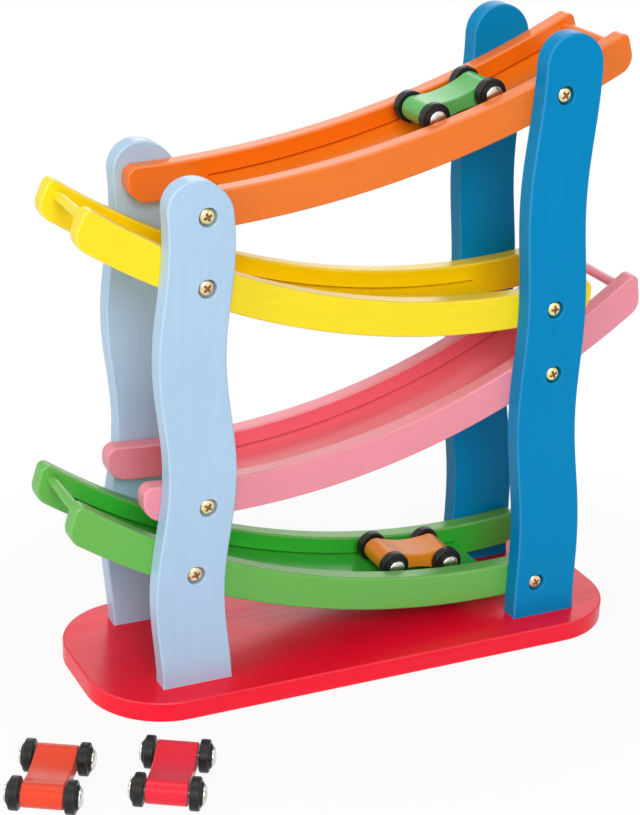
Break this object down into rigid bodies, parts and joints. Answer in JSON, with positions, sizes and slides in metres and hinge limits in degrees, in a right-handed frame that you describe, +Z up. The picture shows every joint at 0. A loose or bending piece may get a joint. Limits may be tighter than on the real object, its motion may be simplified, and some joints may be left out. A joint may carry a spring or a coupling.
{
  "type": "click clack track toy",
  "caption": "Wooden tower toy: curved ramps between wavy uprights on a rounded base, and small waisted cars that roll down and drop from ramp to ramp.",
  "frame": {"origin": "centre of the base board's underside", "axes": "+Z up, +X along the base to the right seen from the front, -Y to the front"},
  "size_m": [0.3107, 0.1608, 0.2752],
  "materials": {
    "base_red": "painted wood, semi-gloss",
    "light_blue": "painted wood, semi-gloss",
    "dark_blue": "painted wood, semi-gloss",
    "ramp_orange": "painted wood, semi-gloss",
    "ramp_yellow": "painted wood, semi-gloss",
    "ramp_pink": "painted wood, semi-gloss",
    "ramp_green": "painted wood, semi-gloss",
    "screw_brass": "yellow zinc",
    "screw_steel": "zinc",
    "car_green": "painted wood, semi-gloss",
    "car_orange": "painted wood, semi-gloss",
    "car_coral": "painted wood, semi-gloss",
    "car_red": "painted wood, semi-gloss",
    "wheel_black": "moulded, satin",
    "nail_steel": "polished"
  },
  "bodies": {
    "tower": {"base": "base_red", "front_left_upright": "light_blue", "back_left_upright": "light_blue", "front_right_upright": "dark_blue", "back_right_upright": "dark_blue", "orange_front_rail": "ramp_orange", "orange_back_rail": "ramp_orange", "orange_floor": "ramp_orange", "orange_stop_dowel": "ramp_orange", "yellow_front_rail": "ramp_yellow", "yellow_back_rail": "ramp_yellow", "yellow_floor": "ramp_yellow", "yellow_stop_dowel": "ramp_yellow", "pink_front_rail": "ramp_pink", "pink_back_rail": "ramp_pink", "pink_floor": "ramp_pink", "pink_stop_dowel": "ramp_pink", "green_front_rail": "ramp_green", "green_back_rail": "ramp_green", "green_floor": "ramp_green", "green_stop_dowel": "ramp_green", "front_left_screws": "screw_brass", "back_left_screws": "screw_brass", "front_right_screws": "screw_brass", "back_right_screws": "screw_brass", "base_screws": "screw_steel"},
    "green_car": {"green_car_body": "car_green", "green_car_nails": "nail_steel"},
    "green_car_front_left_wheel": {"green_car_front_left_wheel": "wheel_black"},
    "green_car_front_right_wheel": {"green_car_front_right_wheel": "wheel_black"},
    "green_car_rear_left_wheel": {"green_car_rear_left_wheel": "wheel_black"},
    "green_car_rear_right_wheel": {"green_car_rear_right_wheel": "wheel_black"},
    "orange_car": {"orange_car_body": "car_orange", "orange_car_nails": "nail_steel"},
    "orange_car_front_left_wheel": {"orange_car_front_left_wheel": "wheel_black"},
    "orange_car_front_right_wheel": {"orange_car_front_right_wheel": "wheel_black"},
    "orange_car_rear_left_wheel": {"orange_car_rear_left_wheel": "wheel_black"},
    "orange_car_rear_right_wheel": {"orange_car_rear_right_wheel": "wheel_black"},
    "coral_car": {"coral_car_body": "car_coral", "coral_car_nails": "nail_steel"},
    "coral_car_front_left_wheel": {"coral_car_front_left_wheel": "wheel_black"},
    "coral_car_front_right_wheel": {"coral_car_front_right_wheel": "wheel_black"},
    "coral_car_rear_left_wheel": {"coral_car_rear_left_wheel": "wheel_black"},
    "coral_car_rear_right_wheel": {"coral_car_rear_right_wheel": "wheel_black"},
    "red_car": {"red_car_body": "car_red", "red_car_nails": "nail_steel"},
    "red_car_front_left_wheel": {"red_car_front_left_wheel": "wheel_black"},
    "red_car_front_right_wheel": {"red_car_front_right_wheel": "wheel_black"},
    "red_car_rear_left_wheel": {"red_car_rear_left_wheel": "wheel_black"},
    "red_car_rear_right_wheel": {"red_car_rear_right_wheel": "wheel_black"}
  },
  "joints": [
    {"name": "green_car_roll", "type": "hinge", "parent": "tower", "child": "green_car", "pos_m": [-0.1069, 0, 0.68299], "axis": [0, 1, 0], "range_deg": [-5.6, 11.1]},
    {"name": "green_car_front_left_wheel_spin", "type": "hinge", "parent": "green_car", "child": "green_car_front_left_wheel", "pos_m": [0.02685, -0.011, 0.238], "axis": [0, 1, 0], "continuous": true},
    {"name": "green_car_front_right_wheel_spin", "type": "hinge", "parent": "green_car", "child": "green_car_front_right_wheel", "pos_m": [0.02685, 0.011, 0.238], "axis": [0, 1, 0], "continuous": true},
    {"name": "green_car_rear_left_wheel_spin", "type": "hinge", "parent": "green_car", "child": "green_car_rear_left_wheel", "pos_m": [0.05256, -0.011, 0.24656], "axis": [0, 1, 0], "continuous": true},
    {"name": "green_car_rear_right_wheel_spin", "type": "hinge", "parent": "green_car", "child": "green_car_rear_right_wheel", "pos_m": [0.05256, 0.011, 0.24656], "axis": [0, 1, 0], "continuous": true},
    {"name": "orange_car_roll", "type": "hinge", "parent": "tower", "child": "orange_car", "pos_m": [0.0633, 0, 0.364], "axis": [0, -1, 0], "range_deg": [-25.5, 3.5]},
    {"name": "orange_car_front_left_wheel_spin", "type": "hinge", "parent": "orange_car", "child": "orange_car_front_left_wheel", "pos_m": [0.04725, 0.011, 0.03174], "axis": [0, 1, 0], "continuous": true},
    {"name": "orange_car_front_right_wheel_spin", "type": "hinge", "parent": "orange_car", "child": "orange_car_front_right_wheel", "pos_m": [0.04725, -0.011, 0.03174], "axis": [0, 1, 0], "continuous": true},
    {"name": "orange_car_rear_left_wheel_spin", "type": "hinge", "parent": "orange_car", "child": "orange_car_rear_left_wheel", "pos_m": [0.02026, 0.011, 0.03415], "axis": [0, 1, 0], "continuous": true},
    {"name": "orange_car_rear_right_wheel_spin", "type": "hinge", "parent": "orange_car", "child": "orange_car_rear_right_wheel", "pos_m": [0.02026, -0.011, 0.03415], "axis": [0, 1, 0], "continuous": true},
    {"name": "coral_car_roll", "type": "slide", "parent": "tower", "child": "coral_car", "axis": [0.5, 0.866, 0], "range_m": [-0.06, 0.015]},
    {"name": "coral_car_front_left_wheel_spin", "type": "hinge", "parent": "coral_car", "child": "coral_car_front_left_wheel", "pos_m": [-0.16435, -0.05776, 0.0067], "axis": [-0.866, 0.5, 0], "continuous": true},
    {"name": "coral_car_front_right_wheel_spin", "type": "hinge", "parent": "coral_car", "child": "coral_car_front_right_wheel", "pos_m": [-0.1453, -0.06877, 0.0067], "axis": [-0.866, 0.5, 0], "continuous": true},
    {"name": "coral_car_rear_left_wheel_spin", "type": "hinge", "parent": "coral_car", "child": "coral_car_rear_left_wheel", "pos_m": [-0.1779, -0.08124, 0.0067], "axis": [-0.866, 0.5, 0], "continuous": true},
    {"name": "coral_car_rear_right_wheel_spin", "type": "hinge", "parent": "coral_car", "child": "coral_car_rear_right_wheel", "pos_m": [-0.15885, -0.09223, 0.0067], "axis": [-0.866, 0.5, 0], "continuous": true},
    {"name": "red_car_roll", "type": "slide", "parent": "tower", "child": "red_car", "axis": [0.5, 0.866, 0], "range_m": [-0.06, 0.015]},
    {"name": "red_car_front_left_wheel_spin", "type": "hinge", "parent": "red_car", "child": "red_car_front_left_wheel", "pos_m": [-0.11955, -0.07326, 0.0067], "axis": [-0.866, 0.5, 0], "continuous": true},
    {"name": "red_car_front_right_wheel_spin", "type": "hinge", "parent": "red_car", "child": "red_car_front_right_wheel", "pos_m": [-0.1005, -0.08427, 0.0067], "axis": [-0.866, 0.5, 0], "continuous": true},
    {"name": "red_car_rear_left_wheel_spin", "type": "hinge", "parent": "red_car", "child": "red_car_rear_left_wheel", "pos_m": [-0.1331, -0.09674, 0.0067], "axis": [-0.866, 0.5, 0], "continuous": true},
    {"name": "red_car_rear_right_wheel_spin", "type": "hinge", "parent": "red_car", "child": "red_car_rear_right_wheel", "pos_m": [-0.11405, -0.10773, 0.0067], "axis": [-0.866, 0.5, 0], "continuous": true}
  ]
}
